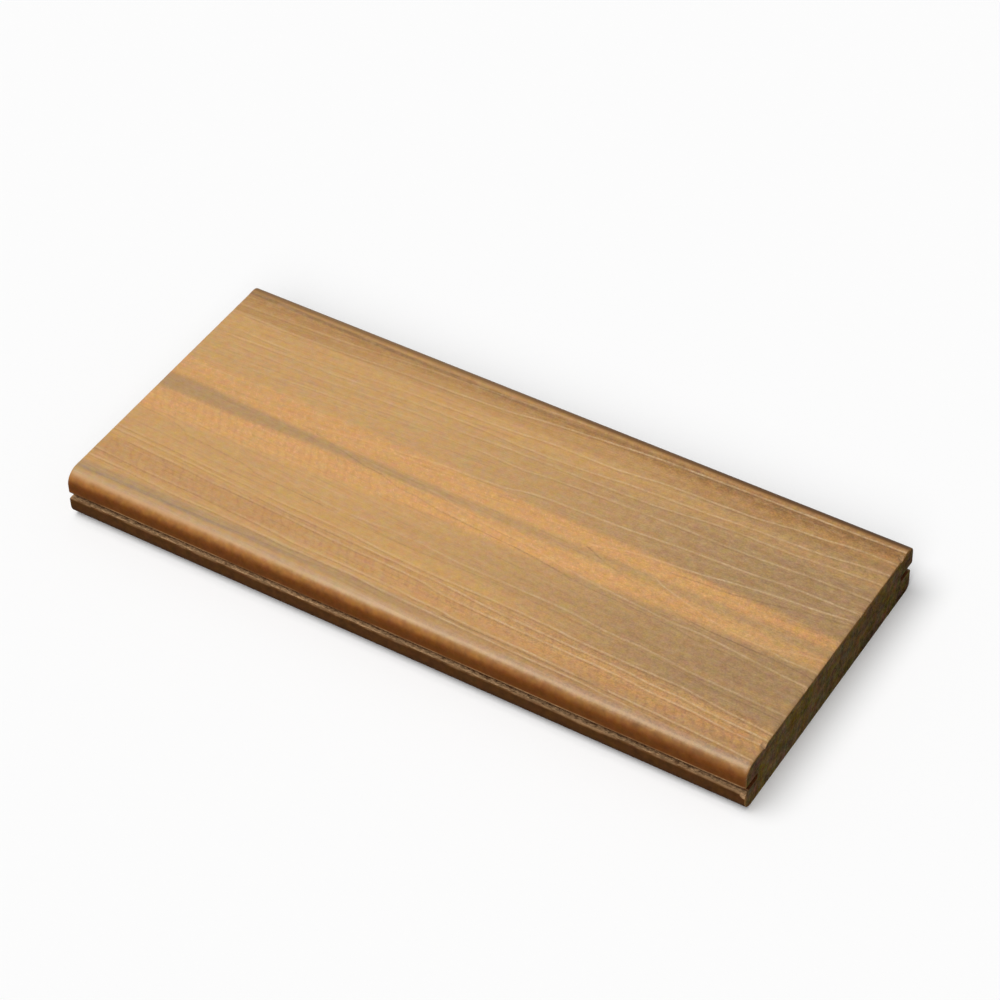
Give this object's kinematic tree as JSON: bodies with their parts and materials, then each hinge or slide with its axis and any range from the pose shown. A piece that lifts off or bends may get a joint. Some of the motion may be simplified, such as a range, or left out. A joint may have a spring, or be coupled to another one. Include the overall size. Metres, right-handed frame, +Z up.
{
  "type": "decking board",
  "caption": "Short length of solid decking board with a woodgrain walking face, rounded long edges and a hidden-fastener groove milled along each side, sawn square at the ends.",
  "frame": {"origin": "centre of the underside, where the board rests on its joists", "axes": "+X along the board from sawn end to sawn end, +Y across it towards the edge with the set-back lower lip, +Z up out of the walking face"},
  "size_m": [0.32, 0.14, 0.0238],
  "materials": {
    "board": "embossed woodgrain walking face, satin rounded edges, dull sawn ends and grooves"
  },
  "bodies": {
    "root": {"deck_board": "board"}
  },
  "joints": []
}
